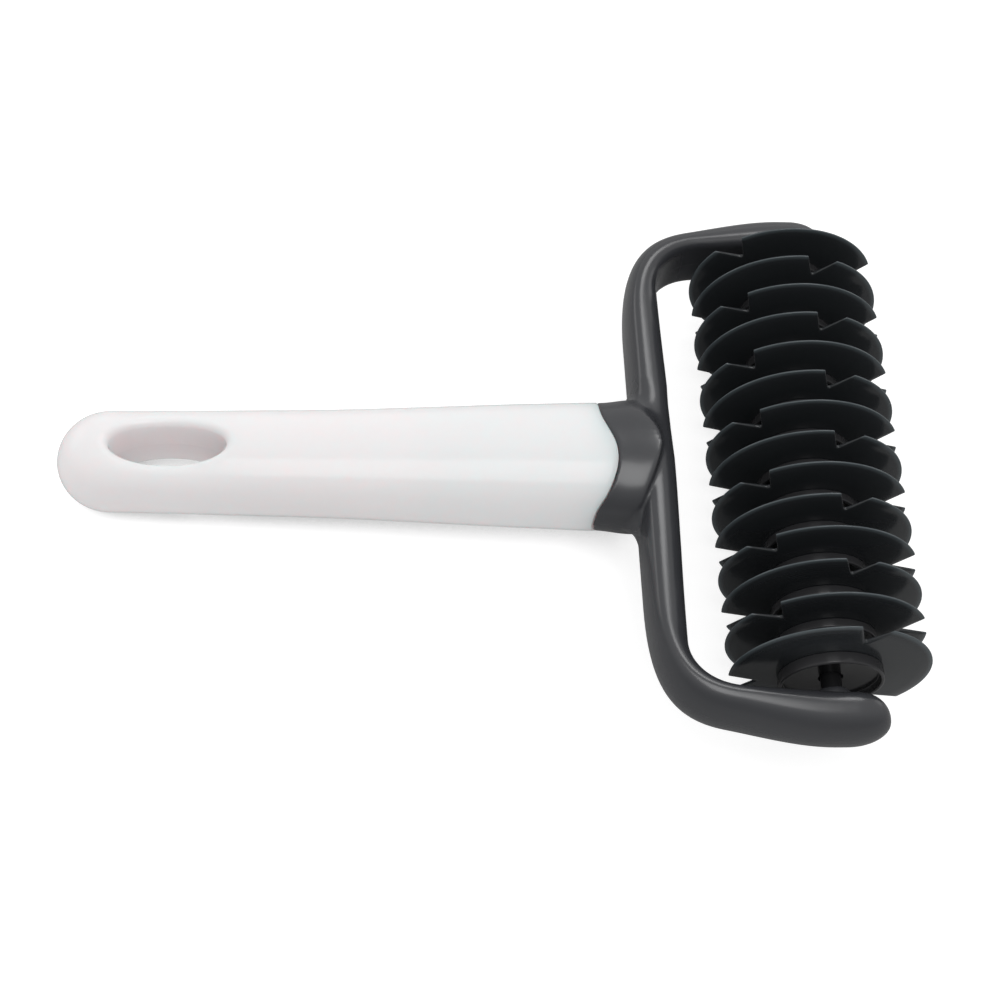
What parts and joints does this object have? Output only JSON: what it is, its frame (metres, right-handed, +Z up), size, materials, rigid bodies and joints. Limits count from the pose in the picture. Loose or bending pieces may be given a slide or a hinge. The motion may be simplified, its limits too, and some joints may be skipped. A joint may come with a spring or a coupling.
{
  "type": "lattice roller cutter",
  "caption": "Lattice roller cutter: a white oval handle with a hanging hole, a dark grey fork, and a roller of black notched discs with cup-shaped spacers that turns freely.",
  "frame": {"origin": "middle of the bounding box's bottom, on the surface that the cutter stands on", "axes": "+X from the handle's tail towards the roller, +Y along the axle towards the far arm, +Z up"},
  "size_m": [0.1908, 0.1368, 0.044],
  "materials": {
    "handle_white": "smooth gloss white",
    "fork_grey": "satin dark grey",
    "disc_black": "smooth black",
    "spacer_black": "smooth black",
    "axle_black": "plain black"
  },
  "bodies": {
    "frame": {"handle_grip": "handle_white", "fork_frame": "fork_grey"},
    "roller": {"hex_axle": "axle_black", "cutter_disc_01": "disc_black", "cutter_disc_02": "disc_black", "cutter_disc_03": "disc_black", "cutter_disc_04": "disc_black", "cutter_disc_05": "disc_black", "cutter_disc_06": "disc_black", "cutter_disc_07": "disc_black", "cutter_disc_08": "disc_black", "cutter_disc_09": "disc_black", "cutter_disc_10": "disc_black", "cutter_disc_11": "disc_black", "cutter_disc_12": "disc_black", "cutter_disc_13": "disc_black", "cutter_disc_14": "disc_black", "spacer_01": "spacer_black", "spacer_02": "spacer_black", "spacer_03": "spacer_black", "spacer_04": "spacer_black", "spacer_05": "spacer_black", "spacer_06": "spacer_black", "spacer_07": "spacer_black", "spacer_08": "spacer_black", "spacer_09": "spacer_black", "spacer_10": "spacer_black", "spacer_11": "spacer_black", "spacer_12": "spacer_black", "spacer_13": "spacer_black", "end_hub_far": "spacer_black", "end_hub_near": "spacer_black"}
  },
  "joints": [
    {"name": "roller_spin", "type": "hinge", "parent": "frame", "child": "roller", "pos_m": [0.07342, 0, 0.022], "axis": [0, 1, 0], "continuous": true}
  ]
}
